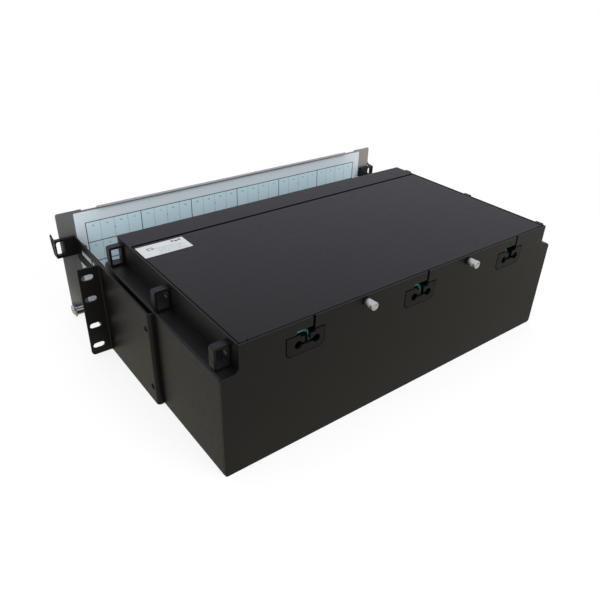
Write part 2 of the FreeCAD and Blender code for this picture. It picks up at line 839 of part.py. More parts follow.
round_edges(ear, "Z", bend_outsides, "ear_bend + ear_thick")
round_edges(ear, "Z", bend_insides, "ear_bend")
round_edges(ear, "Y", [(ear_edge, "ear_low")], "ear_corner")
round_edges(ear, "Y", [(ear_edge, ear_top)], "ear_nose")
keep(ear, mirrored(ear, "ear_bracket_left"))


# Bracket screws with the spacers and nuts that hold the ears off the housing

def ring_profile(inner, outer, start, end):
    return [(start, inner), (start, outer), (end, outer), (end, inner)]


def make_bracket_set(label, points):
    item = new_body(label + "_first")
    turn(item, "XY", "H_Axis", points)
    right = copies(label + "_right", item, [("0", y, z) for y, z in bracket_spots])
    return group(label, [right, mirrored(right, label + "_left")])


screw_bore = "bracket_screw + running_gap"
screw_points = [
    (f"{inside_half} - nut_height", "0"),
    (f"{inside_half} - nut_height", "bracket_screw"),
    (ear_outer, "bracket_screw"),
    (ear_outer, "bracket_head"),
    (f"{ear_outer} + head_height", "bracket_head"),
    (f"{ear_outer} + head_height", "0"),
]
spacer_points = ring_profile(screw_bore, "spacer_radius", "body_half", "body_half + ear_standoff")
nut_points = ring_profile(screw_bore, "nut_radius", f"{inside_half} - nut_height", inside_half)
keep(make_bracket_set("bracket_screws", screw_points))
keep(make_bracket_set("bracket_spacers", spacer_points))
keep(make_bracket_set("bracket_nuts", nut_points))


# Front door: sheet with top and bottom return flanges and a hinge lug at each end

door = new_body("front_door")
door_sheet = new_sketch(door, "XZ", door_inner)
add_box(door_sheet, f"-{door_half}", door_half, "door_low", door_top)
pad(door, door_sheet, "wall")
flange_end = f"({door_inner} - door_flange)"
top_return = new_sketch(door, "XY", door_top)
add_box(top_return, f"-{door_half}", door_half, f"-{door_inner}", f"-{flange_end}")
pad(door, top_return, "wall", reverse=True)
bottom_return = new_sketch(door, "XY", "door_low")
add_box(bottom_return, f"-{door_half}", door_half, f"-{door_inner}", f"-{flange_end}")
pad(door, bottom_return, "wall")
reliefs = new_sketch(door, "XZ", f"{door_inner} + 2 * wall")
for side in ("", "-"):
    ends = sorted([f"{side}{door_flange_half}", f"{side}({door_flange_half} + door_relief)"], key=number)
    add_box(reliefs, *ends, f"{door_top} - relief_depth", f"{door_top} + wall")
pocket(door, reliefs, "door_flange + 4 * wall")
notches = new_sketch(door, "XY", "door_low + 2 * wall")
for side in ("", "-"):
    ends = sorted([f"{side}({inside_half} - lug_notch)", f"{side}(body_half + lug_notch)"], key=number)
    add_box(notches, *ends, f"-{door_inner}", f"wall - {flange_end}")
pocket(door, notches, "3 * wall")
for side, inward in ((door_half, True), (f"-{door_half}", False)):
    lug = new_sketch(door, "YZ", side)
    add_box(lug, f"-{door_inner}", "door_lug - hinge_depth", "door_low", "hinge_height + door_lug")
    pad(door, lug, "wall", reverse=inward)
round_edges(door, "X", [("door_lug - hinge_depth", "hinge_height + door_lug")], "door_lug - running_gap")
round_edges(door, "X", [("door_lug - hinge_depth", "door_low")], "wall")
pin_holes = new_sketch(door, "YZ")
add_circle(pin_holes, "-hinge_depth", "hinge_height", "pin_radius + running_gap")
pocket(door, pin_holes, f"2 * {door_half} + wall", both=True)
door_bends = [(f"-{door_inner} - wall", level) for level in (door_top, "door_low")]
round_edges(door, "X", door_bends, "door_bend")

label_sheet = doc.addObject("Part::Box", "label_sheet")
label_sheet.Label = "label_sheet"
bind(label_sheet, "Length", f"2 * {sheet_half}")
bind(label_sheet, "Width", "sheet_thick")
bind(label_sheet, "Height", f"{sheet_top} - sheet_low")
place(label_sheet, x=f"-{sheet_half}", y=f"-{door_inner}", z="sheet_low")
keep(door, label_sheet)


# Hinge pins, riveted into the housing lugs and headed outside the door lugs

pin = new_body("hinge_pin_right")
shoulder_end = f"{door_half} - wall - side_play"
outer_head = f"{door_half} + side_play"
turn(pin, "XY", "H_Axis", [
    (f"{inside_half} - head_length", "0"),
    (f"{inside_half} - head_length", "pin_rivet"),
    (inside_half, "pin_rivet"),
    (inside_half, "pin_radius"),
    ("body_half", "pin_radius"),
    ("body_half", "pin_shoulder"),
    (shoulder_end, "pin_shoulder"),
    (shoulder_end, "pin_radius"),
    (outer_head, "pin_radius"),
    (outer_head, "pin_head"),
    (f"{outer_head} + head_length", "pin_head"),
    (f"{outer_head} + head_length", "0"),
])
place(pin, y="-hinge_depth", z="hinge_height")
keep(group("hinge_pins", [pin, mirrored(pin, "hinge_pin_left")]))


# Cord guides at the arm ends: a block with a tall window and an open outer lip past the door

guide = new_body("cord_guide_right")
guide_front = f"({door_inner} - door_gap)"
window_start = "body_half + guide_block"
window_end = f"{window_start} + guide_window"
guide_edge = f"({window_end} + guide_lip)"
block = new_sketch(guide, "XZ", guide_front)
add_box(block, "body_half", guide_edge, guide_low, guide_top)
pad(guide, block, "guide_depth", reverse=True)
round_edges(guide, "Y", [(guide_edge, guide_low), (guide_edge, guide_top)], "guide_corner")
window = new_sketch(guide, "XZ", f"{guide_front} + wall")
add_box(window, window_start, window_end, window_low, window_top)
pocket(guide, window, "guide_depth + 2 * wall")
window_corners = [(x, z) for x in (window_start, window_end) for z in (window_low, window_top)]
round_edges(guide, "Y", window_corners, "window_corner")
lip_side = new_sketch(guide, "YZ", guide_edge)
lip_front = f"(-{guide_front} - lip_reach)"
add_outline(lip_side, [
    (f"-{guide_front}", f"{window_low} - lip_tip"),
    (f"-{guide_front}", guide_top),
    (f"{lip_front} + 2 * lip_tip", guide_top),
    (f"{lip_front} + lip_tip", f"{guide_top} + lip_tip"),
    (lip_front, f"{guide_top} + lip_tip"),
    (lip_front, f"{guide_top} - 2 * lip_tip"),
    (f"{lip_front} + 2 * lip_tip", f"{window_low} - lip_tip"),
])
pad(guide, lip_side, "guide_lip", reverse=True)
lip_hole = new_sketch(guide, "YZ", f"{guide_edge} + guide_lip")
add_outline(lip_hole, [
    (f"-{guide_front} - lip_frame", window_low),
    (f"-{guide_front} - lip_frame", window_top),
    (f"{lip_front} + lip_frame", window_top),
    (f"{lip_front} + lip_frame", f"{guide_top} - 2 * lip_tip"),
    (f"{lip_front} + 2 * lip_frame + lip_tip / 2", window_low),
])
pocket(guide, lip_hole, "3 * guide_lip")
keep(guide, mirrored(guide, "cord_guide_left"))


# Magnetic catches on the arms' inner faces

magnet = new_body("door_magnet_right")
magnet_front = f"({door_inner} - sheet_thick - door_gap)"
magnet_centre = f"({inside_half} - magnet_stand - magnet_radius)"
barrel = new_sketch(magnet, "XZ", magnet_front)
add_circle(barrel, magnet_centre, magnet_height, "magnet_radius")
pad(magnet, barrel, "magnet_length", reverse=True)
foot = new_sketch(magnet, "XZ", f"{magnet_front} - magnet_foot / 3")
foot_low, foot_high = f"{magnet_height} - magnet_foot / 2", f"{magnet_height} + magnet_foot / 2"
add_box(foot, magnet_centre, inside_half, foot_low, foot_high)
pad(magnet, foot, "magnet_foot", reverse=True)
keep(magnet, mirrored(magnet, "door_magnet_left"))


# Cable rings on the ledges: square loops with a slanting slit in the outer wall

def make_ring(label, middle):
    ring = new_body(label)
    edge = "(body_half - ring_inset)"
    rear, front = f"({middle} + ring_depth / 2)", f"({middle} - ring_depth / 2)"
    hoop = new_sketch(ring, "XZ", f"-{rear}")
    add_box(hoop, deck_half, edge, ledge, ring_top)
    pad(ring, hoop, "ring_depth")
    round_edges(ring, "Y", [(edge, ring_top), (edge, ledge)], "ring_corner")
    loop = new_sketch(ring, "XZ", f"-{rear} - wall")
    inner_low, inner_high = f"{ledge} + ring_wall", f"{ring_top} - ring_wall"
    add_box(loop, f"{deck_half} + ring_wall", f"{edge} - ring_wall", inner_low, inner_high)
    pocket(ring, loop, "ring_depth + 2 * wall", reverse=True)
    gap = new_sketch(ring, "YZ", f"{edge} + wall")
    centre = f"(({ledge} + {ring_top}) / 2)"
    add_outline(gap, [
        (rear, f"{centre} - slit_rise / 2 - ring_slit"),
        (rear, f"{centre} - slit_rise / 2"),
        (front, f"{centre} + slit_rise / 2 + ring_slit"),
        (front, f"{centre} + slit_rise / 2"),
    ])
    pocket(ring, gap, "2 * wall + ring_wall")
    bore_sketch = new_sketch(ring, "YZ", f"{deck_half} - wall")
    add_circle(bore_sketch, middle, ring_screw_height, "ring_screw + running_gap")
    pocket(ring, bore_sketch, "2 * wall + ring_wall", reverse=True)
    return ring


for name, middle in zip(("rear", "middle", "front"), ring_middles):
    ring = make_ring(f"cable_ring_right_{name}", middle)
    keep(ring, mirrored(ring, f"cable_ring_left_{name}"))

ring_fixing = new_body("ring_fixing")
fixing_head = f"{deck_half} + ring_wall"
turn(ring_fixing, "XY", "H_Axis", [
    (f"{deck_inside} - head_height", "0"),
    (f"{deck_inside} - head_height", "ring_screw"),
    (fixing_head, "ring_screw"),
    (fixing_head, "ring_head"),
    (f"{fixing_head} + head_height", "ring_head"),
    (f"{fixing_head} + head_height", "0"),
])
right_fixings = copies("ring_screws_right", ring_fixing, [("0", y, ring_screw_height) for y in ring_middles])
keep(group("ring_screws", [right_fixings, mirrored(right_fixings, "ring_screws_left")]))


# Splice trays: stacked shells with two fibre hubs and a splice comb, lidded and nutted on studs

def rounded_slab(body, level, height):
    slab = new_sketch(body, "XY", level)
    add_box(slab, "-tray_long / 2", "tray_long / 2", "-tray_wide / 2", "tray_wide / 2")
    pad(body, slab, height)
    corners = [(f"{a}tray_long / 2", f"{b}tray_wide / 2") for a in ("", "-") for b in ("", "-")]
    round_edges(body, "Z", corners, "tray_corner")


def stud_holes(body, level):
    holes = new_sketch(body, "XY", level)
    for x in ("stud_inset - tray_long / 2", "tray_long / 2 - stud_inset"):
        add_circle(holes, x, "0", "stud_radius + stud_gap")
    pocket(body, holes, "2 * tray_pitch", both=True)


splice_tray = new_body("splice_tray")
rounded_slab(splice_tray, "0", "tray_pitch")
tray_slab = splice_tray.Tip
top_face = next(
    f"Face{i}" for i, item in enumerate(tray_slab.Shape.Faces, start=1)
    if item.normalAt(0, 0).z > 0.99
)
hollow = splice_tray.newObject("PartDesign::Thickness", "hollow")
hollow.Base = (tray_slab, [top_face])
bind(hollow, "Value", "tray_skin")
hollow.Reversed = True
doc.recompute()
hubs = new_sketch(splice_tray, "XY", "tray_skin")
for x in ("hub_inset - tray_long / 2", "tray_long / 2 - hub_inset"):
    add_circle(hubs, x, "0", "hub_radius")
    add_circle(hubs, x, "0", "hub_radius - tray_skin")
pad(splice_tray, hubs, "tray_pitch - tray_skin - hub_drop")
comb = new_sketch(splice_tray, "XY", "tray_skin")
for i in range(comb_ribs):
    centre = f"(({i} - {(comb_ribs - 1) / 2}) * comb_wide / {comb_ribs - 1})"
    add_box(comb, "-comb_long / 2", "comb_long / 2", f"{centre} - comb_rib / 2", f"{centre} + comb_rib / 2")
pad(splice_tray, comb, "tray_pitch - tray_skin - 2 * hub_drop")
stud_holes(splice_tray, "0")

tray_lid = new_body("tray_lid")
stack_top = f"(stack_base + {trays_per_stack} * tray_pitch)"
lid_top = f"({stack_top} + lid_thick)"
rounded_slab(tray_lid, stack_top, "lid_thick")
stud_holes(tray_lid, stack_top)

stud = new_body("tray_stud")
stud_top = f"{lid_top} + wing_nut + tray_skin"
turn(stud, "XZ", "V_Axis", [
    ("0", "wall"),
    ("stud_foot", "wall"),
    ("stud_foot", "stack_base"),
    ("stud_radius", "stack_base"),
    ("stud_radius", stud_top),
    ("0", stud_top),
])

nut = new_body("tray_nut")
nut_base = new_sketch(nut, "XY", lid_top)
add_circle(nut_base, "0", "0", "stud_foot")
pad(nut, nut_base, "wing_nut")
wings = new_sketch(nut, "XZ")
wing_top = f"{lid_top} + wing_height"
add_outline(wings, [
    ("-stud_foot / 2", f"{lid_top} + wall"),
    ("stud_foot / 2", f"{lid_top} + wall"),
    ("wing_reach", wing_top),
    ("wing_reach - 2 * stud_radius", wing_top),
    ("stud_foot / 2", f"{lid_top} + wing_nut"),
    ("-stud_foot / 2", f"{lid_top} + wing_nut"),
    ("2 * stud_radius - wing_reach", wing_top),
    ("-wing_reach", wing_top),
])
pad(nut, wings, "tray_skin", both=True)
nut_bore = new_sketch(nut, "XY", lid_top)
add_circle(nut_bore, "0", "0", "stud_radius + running_gap")
pocket(nut, nut_bore, "4 * wing_nut", both=True)

stack_spots = [(stack_offset, "stack_depth"), (f"-{stack_offset}", "stack_depth")]
stud_sides = ("(tray_long / 2 - stud_inset)", "(stud_inset - tray_long / 2)")
stud_spots = [(f"{x} + {side}", y, "0") for x, y in stack_spots for side in stud_sides]
for name, (x, y) in zip(("right", "left"), stack_spots):
    tray_spots = [(x, y, f"stack_base + {i} * tray_pitch") for i in range(trays_per_stack)]
    keep(copies(f"splice_trays_{name}", splice_tray, tray_spots))
keep(copies("tray_lids", tray_lid, [(x, y, "0") for x, y in stack_spots]))
keep(copies("tray_studs", stud, stud_spots))
keep(copies("tray_nuts", nut, stud_spots))


# Tie rail: slotted channel on the floor behind the rear panel

tie_rail = new_body("tie_rail")
rail_front, rail_back = f"({rail_centre} - rail_width / 2)", f"({rail_centre} + rail_width / 2)"
rail_top = "(2 * wall + rail_gap)"
channel = new_sketch(tie_rail, "YZ")
add_outline(channel, [
    (rail_front, "wall"),
    (rail_front, rail_top),
    (rail_back, rail_top),
    (rail_back, "wall"),
    (f"{rail_back} - wall", "wall"),
    (f"{rail_back} - wall", f"{rail_top} - wall"),
    (f"{rail_front} + wall", f"{rail_top} - wall"),
    (f"{rail_front} + wall", "wall"),
])
pad(tie_rail, channel, f"2 * {rail_half}", both=True)
tie_slot = new_sketch(tie_rail, "XY", f"{rail_top} + wall")
add_slot(tie_slot, f"({1 - rail_slots}) * rail_pitch / 2", rail_centre, "rail_slot", "rail_slot_width")
slot_cut = pocket(tie_rail, tie_slot, "3 * wall")
repeat(tie_rail, slot_cut, tie_slot, f"{rail_slots - 1} * rail_pitch", rail_slots)
keep(tie_rail)


# Fibre tubes: one loop behind each grommet, tied down on the rail at both ends

tube = new_body("fibre_tube")
tube_end = new_sketch(tube, "XY", rail_top)
add_circle(tube_end, "-loop_half", "0", "tube_radius")
route = new_sketch(tube, "XZ")
high = "(body_height - loop_drop)"
bend_start = f"({high} - loop_bend)"
inner = "(loop_half - loop_bend)"
up = FreeCAD.Vector(0, 0, 1)
bend_radius = number("loop_bend")
straights = [
    (("-loop_half", rail_top), ("-loop_half", bend_start)),
    ((f"-{inner}", high), (inner, high)),
    (("loop_half", bend_start), ("loop_half", rail_top)),
]
for start, end in straights:
    curve = route.addGeometry(Part.LineSegment(spot(*start), spot(*end)))
    fix_point(route, curve, 1, *start)
    fix_point(route, curve, 2, *end)
left_bend = Part.Circle(spot(f"-{inner}", bend_start), up, bend_radius)
right_bend = Part.Circle(spot(inner, bend_start), up, bend_radius)
turn_left = route.addGeometry(Part.ArcOfCircle(left_bend, math.pi / 2, math.pi))
turn_right = route.addGeometry(Part.ArcOfCircle(right_bend, 0, math.pi / 2))
bends = [
    (turn_left, f"-{inner}", ((0, 2, 2), (1, 1, 1))),
    (turn_right, inner, ((1, 2, 2), (2, 1, 1))),
]
for arc, side, joins in bends:
    for line, line_end, arc_end in joins:
        route.addConstraint(Sketcher.Constraint("Coincident", line, line_end, arc, arc_end))
    rule = route.addConstraint(Sketcher.Constraint("DistanceX", -1, 1, arc, 3, number(side)))
    route.setExpression(f"Constraints[{rule}]", with_sheet(side))
pipe = tube.newObject("PartDesign::AdditivePipe", "pipe")
pipe.Profile = tube_end
pipe.Spine = (route, ["Edge1", "Edge4", "Edge2", "Edge5", "Edge3"])
doc.recompute()
tube_spots = [(f"{middle} + loop_shift", f"{rail_back} - loop_back / 2", "0") for middle in grommet_middles]
keep(copies("pigtail_loops", tube, tube_spots))


# Every object and shape is checked before any file is written

doc.recompute()
for item in doc.Objects:
    if "Invalid" in item.State or "Error" in item.State:
        raise RuntimeError(f"{item.Label} failed: {item.State}")
for node in nodes:
    if node.Shape.isNull() or not node.Shape.isValid() or not node.Shape.Solids:
        raise RuntimeError(f"{node.Label} has no sound shape")
os.makedirs("parts", exist_ok=True)
for node in nodes:
    node.Shape.exportStep(f"parts/{node.Label}.step")
print(len(nodes), "nodes,", sum(len(node.Shape.Solids) for node in nodes), "solids")
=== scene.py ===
import json
import math
import bmesh
import bpy
from mathutils import Matrix, Quaternion, Vector

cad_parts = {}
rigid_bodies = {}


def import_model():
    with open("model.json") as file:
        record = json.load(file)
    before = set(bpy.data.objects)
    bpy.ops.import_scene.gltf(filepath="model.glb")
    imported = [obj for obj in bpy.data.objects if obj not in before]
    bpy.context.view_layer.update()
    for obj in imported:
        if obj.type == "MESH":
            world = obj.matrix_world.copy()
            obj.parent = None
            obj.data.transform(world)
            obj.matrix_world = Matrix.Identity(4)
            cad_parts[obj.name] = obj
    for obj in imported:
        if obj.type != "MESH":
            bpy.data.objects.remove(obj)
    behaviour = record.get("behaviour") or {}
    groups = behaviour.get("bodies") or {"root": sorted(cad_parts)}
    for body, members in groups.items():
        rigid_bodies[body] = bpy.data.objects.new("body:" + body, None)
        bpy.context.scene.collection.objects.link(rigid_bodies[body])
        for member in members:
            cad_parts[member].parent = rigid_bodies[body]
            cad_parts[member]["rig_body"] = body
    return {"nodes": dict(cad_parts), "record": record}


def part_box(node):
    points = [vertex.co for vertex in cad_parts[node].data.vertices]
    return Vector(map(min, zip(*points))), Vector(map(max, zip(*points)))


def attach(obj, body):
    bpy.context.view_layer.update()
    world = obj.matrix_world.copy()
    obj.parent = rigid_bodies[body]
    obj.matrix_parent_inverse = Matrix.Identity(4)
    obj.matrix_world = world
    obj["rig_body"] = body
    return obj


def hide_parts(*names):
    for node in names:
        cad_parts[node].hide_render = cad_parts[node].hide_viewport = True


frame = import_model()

nodes = frame["nodes"]
slotOf = {row["node"]: row["material_slot"] for row in frame["record"]["subparts"]}
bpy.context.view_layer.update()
mm = 0.001
mergeGap = 0.001 * mm  # corners nearer than this are one
blocks = 6  # columns of adaptors, which the label sheet numbers as blocks
rows = 4
portsPerBlock = 4


# Small helpers for nodes, colours and meshes

def srgb(hexColour):
    linear = []
    for i in (0, 2, 4):
        part = int(hexColour.lstrip("#")[i:i + 2], 16) / 255
        linear.append(part / 12.92 if part <= 0.04045 else ((part + 0.055) / 1.055) ** 2.4)
    return (*linear, 1.0)


def grain(millimetres):
    return 1000 / millimetres  # a texture's Scale for marks of this size, on coordinates in metres


def boxOf(name):
    return [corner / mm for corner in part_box(name)]  # lowest and highest corner in millimetres


def addNode(tree, kind, settings, sockets):
    node = tree.nodes.new(kind)
    for name, value in settings.items():
        setattr(node, name, value)
    for key, value in sockets.items():
        if isinstance(value, bpy.types.NodeSocket):
            tree.links.new(value, node.inputs[key])
        else:
            node.inputs[key].default_value = value
    return node


def newMaterial(name, plain):
    # starts a material with its plain values on the shader and gives back what patterns join on to
    material = bpy.data.materials.new(name)
    material.use_nodes = True
    tree = material.node_tree
    shader = tree.nodes["Principled BSDF"]
    for socket, value in plain.items():
        shader.inputs[socket].default_value = value
    coords = addNode(tree, "ShaderNodeTexCoord", {}, {}).outputs["Object"]
    return material, tree, shader, coords


def layFinish(tree, shader, tone, gloss, relief, look):
    # one pattern mixes the two colours, one sets the roughness and one raises the fine relief
    sockets = {0: tone, 6: srgb(look["colour"]), 7: srgb(look["shade"])}
    colour = addNode(tree, "ShaderNodeMix", {"data_type": "RGBA"}, sockets)
    low, high = look["rough"]
    # a noise lies mostly between 0.3 and 0.7
    sockets = {"Value": gloss, "From Min": 0.3, "From Max": 0.7, "To Min": low, "To Max": high}
    rough = addNode(tree, "ShaderNodeMapRange", {}, sockets)
    sockets = {"Height": relief, "Distance": look["depth"] * mm, "Strength": 1.0}
    bump = addNode(tree, "ShaderNodeBump", {}, sockets)
    tree.links.new(colour.outputs[2], shader.inputs["Base Color"])
    tree.links.new(rough.outputs["Result"], shader.inputs["Roughness"])
    tree.links.new(bump.outputs["Normal"], shader.inputs["Normal"])


def meshObject(name, bm, material, body):
    mesh = bpy.data.meshes.new(name)
    bm.to_mesh(mesh)
    bm.free()
    mesh.materials.append(material)
    item = bpy.data.objects.new(name, mesh)
    bpy.context.scene.collection.objects.link(item)
    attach(item, body)
    return item


def roundEdges(bm, edges, width):
    bmesh.ops.bevel(bm, geom=edges, offset=width * mm, offset_type="OFFSET", segments=2,
                    affect="EDGES", profile=0.5, material=-1, clamp_overlap=True)


# Black coat: powder baked on steel, nearly black, with a soft sheen and a faint peel

coatLook = {
    "colour": "#0a0a09",
    "shade": "#0f0e0d",
    "specular": 0.22,
    "rough": (0.42, 0.46),
    "cloudSize": 45.0,  # sizes and depths in millimetres, here and below
    "speckSize": 4.4,
    "peelSize": 1.1,
    "depth": 0.008,
}


def makeCoat():
    look = coatLook
    plain = {"Specular IOR Level": look["specular"]}
    material, tree, shader, coords = newMaterial("satinBlackPowderCoat", plain)
    patterns = []
    for size, detail in ((look["cloudSize"], 3.0), (look["speckSize"], 2.0), (look["peelSize"], 1.0)):
        sockets = {"Vector": coords, "Scale": grain(size), "Detail": detail}
        patterns.append(addNode(tree, "ShaderNodeTexNoise", {}, sockets).outputs["Fac"])
    layFinish(tree, shader, *patterns, look)
    return material


# Door coat: silver-grey metallic paint, a satin skin over flakes that catch the light unevenly

doorLook = {
    "colour": "#a3a3a2",
    "shade": "#9a9a99",
    "metallic": 0.75,
    "rough": (0.33, 0.41),
    "cloudSize": 30.0,
    "flakeSize": 0.6,  # coarser than real flakes, so that they show
    "depth": 0.01,
}


def makeDoorCoat():
    look = doorLook
    material, tree, shader, coords = newMaterial("silverMetallicPaint", {"Metallic": look["metallic"]})
    sockets = {"Vector": coords, "Scale": grain(look["cloudSize"]), "Detail": 2.0}
    cloud = addNode(tree, "ShaderNodeTexNoise", {}, sockets).outputs["Fac"]
    sockets = {"Vector": coords, "Scale": grain(look["flakeSize"]), "Detail": 0.0}
    flakes = addNode(tree, "ShaderNodeTexNoise", {}, sockets).outputs["Fac"]
    layFinish(tree, shader, cloud, flakes, flakes, look)
    return material


# Plated metals: a clean skin with faint turning or drawing lines

platedLook = {
    # zinc is bright and a little blue, the screws' black and grey zinc are dull, satin nickel is soft
    "zincPlatedSteel": {"colour": "#d4d8d8", "shade": "#bfc4c6", "rough": (0.19, 0.32)},
    "blackZincPlate": {"colour": "#1b1b1c", "shade": "#151516", "rough": (0.31, 0.44)},
    "greyZincPlate": {"colour": "#686a6d", "shade": "#5b5d60", "rough": (0.25, 0.38)},
    "satinNickel": {
        "colour": "#d4d5d2", "shade": "#c4c4c1", "rough": (0.37, 0.5), "lineSize": 0.4, "squeeze": 0.2,
    },
}


def makePlated(name):
    look = {"lineSize": 0.5, "squeeze": 1.0, "depth": 0.008, **platedLook[name]}
    material, tree, shader, coords = newMaterial(name, {"Metallic": 1.0})
    sockets = {"Vector": coords, "Scale": (1.0, look["squeeze"], 1.0)}  # nickel's lines run along Y
    lines = addNode(tree, "ShaderNodeMapping", {}, sockets).outputs["Vector"]
    sockets = {"Vector": lines, "Scale": grain(look["lineSize"]), "Detail": 4.0}
    brushed = addNode(tree, "ShaderNodeTexNoise", {}, sockets).outputs["Fac"]
    layFinish(tree, shader, brushed, brushed, brushed, look)
    return material


# Moulded plastics: an even colour with slow clouds and the mould's spark-eroded grain

plasticLook = {
    # nylon is a soft black, the inserts are duller, the aqua tubes and the caps shine more and the
    # trays are a matt dark grey; the grain is drawn coarser than it is, so that it shows
    "blackMouldedNylon": {
        "colour": "#0a0a0a", "shade": "#100f0f", "rough": (0.4, 0.5), "specular": 0.26, "depth": 0.012,
    },
    "blackInsertPlastic": {"colour": "#080808", "shade": "#0c0c0b", "rough": (0.42, 0.52), "specular": 0.18},
    "aquaTubePlastic": {"colour": "#339690", "shade": "#2c8882", "rough": (0.34, 0.44), "grainSize": 0.6},
    "dustCapPlastic": {"colour": "#d9dcdc", "shade": "#cdd1d2", "rough": (0.32, 0.42)},
    "darkTrayPlastic": {
        "colour": "#2b2c2e", "shade": "#252628", "rough": (0.41, 0.51), "grainSize": 0.6, "depth": 0.015,
    },
}


def makePlastic(name):
    look = {"specular": 0.5, "flowSize": 18.0, "grainSize": 0.5, "depth": 0.01, **plasticLook[name]}
    material, tree, shader, coords = newMaterial(name, {"Specular IOR Level": look["specular"]})
    sockets = {"Vector": coords, "Scale": grain(look["flowSize"]), "Detail": 2.0}
    flow = addNode(tree, "ShaderNodeTexNoise", {}, sockets).outputs["Fac"]
    sockets = {"Vector": coords, "Scale": grain(look["grainSize"]), "Detail": 2.0}
    spark = addNode(tree, "ShaderNodeTexNoise", {}, sockets).outputs["Fac"]
    layFinish(tree, shader, flow, spark, spark, look)
    return material


# Printed papers and inks under a clear film: a flat colour with a faint fibre, and a soft second shine

filmLook = {
    "laminatedLabelSheet": {"colour": "#d3dce3", "shade": "#ccd6de", "rough": (0.29, 0.39), "fibre": 0.8},
    "paleBluePrint": {"colour": "#cee5ef", "shade": "#c6dee9", "rough": (0.29, 0.39), "fibre": 0.8},
    "whiteLabelPaper": {"colour": "#bfc4c7", "shade": "#b8bdc1", "rough": (0.4, 0.5), "fibre": 0.5},
    "darkPrintInk": {"colour": "#1f282e", "shade": "#1a2228", "rough": (0.45, 0.55), "fibre": 0.5},
    "palePrintInk": {"colour": "#7b8c94", "shade": "#73848d", "rough": (0.45, 0.55), "fibre": 0.5},
}


def makeFilm(name):
    look = {"depth": 0.01, **filmLook[name]}
    material, tree, shader, coords = newMaterial(name, {"Coat Weight": 0.25, "Coat Roughness": 0.2})
    sockets = {"Vector": coords, "Scale": grain(look["fibre"]), "Detail": 4.0, "Roughness": 0.7}
    fibre = addNode(tree, "ShaderNodeTexNoise", {}, sockets).outputs["Fac"]
    layFinish(tree, shader, fibre, fibre, fibre, look)
    return material


coat = makeCoat()
zinc = makePlated("zincPlatedSteel")
blackZinc = makePlated("blackZincPlate")
greyZinc = makePlated("greyZincPlate")
nickel = makePlated("satinNickel")
capPlastic = makePlastic("dustCapPlastic")
sheetFilm = makeFilm("laminatedLabelSheet")
tableTint = makeFilm("paleBluePrint")
darkInk = makeFilm("darkPrintInk")
paleInk = makeFilm("palePrintInk")

slotFinish = {
    "black_coat": coat,
    "door_coat": makeDoorCoat(),
    "zinc": zinc,
    "black_zinc": blackZinc,
    "satin_nickel": nickel,
    "black_nylon": makePlastic("blackMouldedNylon"),
    "aqua_plastic": makePlastic("aquaTubePlastic"),
    "cap_plastic": capPlastic,
    "tray_plastic": makePlastic("darkTrayPlastic"),
    "printed_paper": sheetFilm,
}
insertPlastic = makePlastic("blackInsertPlastic")
ownFinish = {"cover_label": makeFilm("whiteLabelPaper"), "thumbscrew_collars": coat}
ownFinish.update({name: insertPlastic for name in nodes if name.startswith("cable_grommet")})
for name, node in nodes.items():
    node.data.materials.clear()
    node.data.materials.append(ownFinish.get(name, slotFinish[slotOf[name]]))
print("finishes on", len(nodes), "CAD nodes")


# Folded and moulded pieces get their small edge rounds: a merged copy of the node, bevelled

edgeRounds = {
    "housing": 0.35, "rear_panel": 0.35, "front_frame": 0.3, "top_cover": 0.3,
    "ear_bracket_right": 0.4, "ear_bracket_left": 0.4, "front_door": 0.3,
    "cord_guide_right": 0.5, "cord_guide_left": 0.5, "door_magnet_right": 0.4, "door_magnet_left": 0.4,
    "thumbscrew_collars": 0.3, "tray_lids": 0.3, "tie_rail": 0.3,
}
edgeRounds.update({name: 0.6 for name in nodes if name.startswith("cable_ring")})
edgeRounds.update({name: 0.35 for name in nodes if name.startswith("cable_grommet")})
edgeRounds.update({name: 0.3 for name in nodes if name.startswith("adaptor_column")})
edgeAngles = {"join": 1, "round": 35, "sharp": 60}  # degrees, to join faces, round edges, keep edges sharp

doorEnds = {
    "start": 200.9,  # the outer ends of the shallow dips, from the middle of the door
    "face": -91.4,  # just behind the panel's inner face
    "level": 126.4,  # just under the flange
    "corner": 2.8,
    "cuts": 5,
}


def cutPlane(bm, faces, place, normal, clearOuter=False):
    wanted = set(faces)
    edges = [e for e in bm.edges if wanted.intersection(e.link_faces)]
    verts = [v for v in bm.verts if wanted.intersection(v.link_faces)]
    bmesh.ops.bisect_plane(bm, geom=verts + edges + faces, dist=0.1 * mergeGap,
                           plane_co=place, plane_no=normal, clear_outer=clearOuter)


def fillHoles(bm):
    bmesh.ops.holes_fill(bm, edges=[e for e in bm.edges if e.is_boundary], sides=0)


def trimDoorEnds(bm, side):
    # past the shallow dips the door's top edge is plain sheet, with no return flange
    look = doorEnds
    for place, normal in (((side * look["start"], 0, 0), (1, 0, 0)), ((0, look["face"], 0), (0, 1, 0))):
        near = [f for f in bm.faces if side * f.calc_center_median().x > 0]
        cutPlane(bm, near, Vector(place) * mm, normal)
    gone = []
    for face in bm.faces:
        x, y, z = face.calc_center_median() / mm
        if side * x > look["start"] and y > look["face"] and z > look["level"]:
            gone.append(face)
    bmesh.ops.delete(bm, geom=gone, context="FACES")
    fillHoles(bm)


def roundDoorCorner(bm, side):
    # straight cuts at even turns about one middle round the upper corner
    look = doorEnds
    corner = boxOf("front_door")[1]
    middle = Vector((side * (corner.x - look["corner"]), 0, corner.z - look["corner"]))
    for cut in range(look["cuts"]):
        turn = math.radians(90) * (cut + 0.5) / look["cuts"]
        out = Vector((side * math.cos(turn), 0, math.sin(turn)))
        cutPlane(bm, list(bm.faces), (middle + out * look["corner"]) * mm, out, clearOuter=True)
        fillHoles(bm)


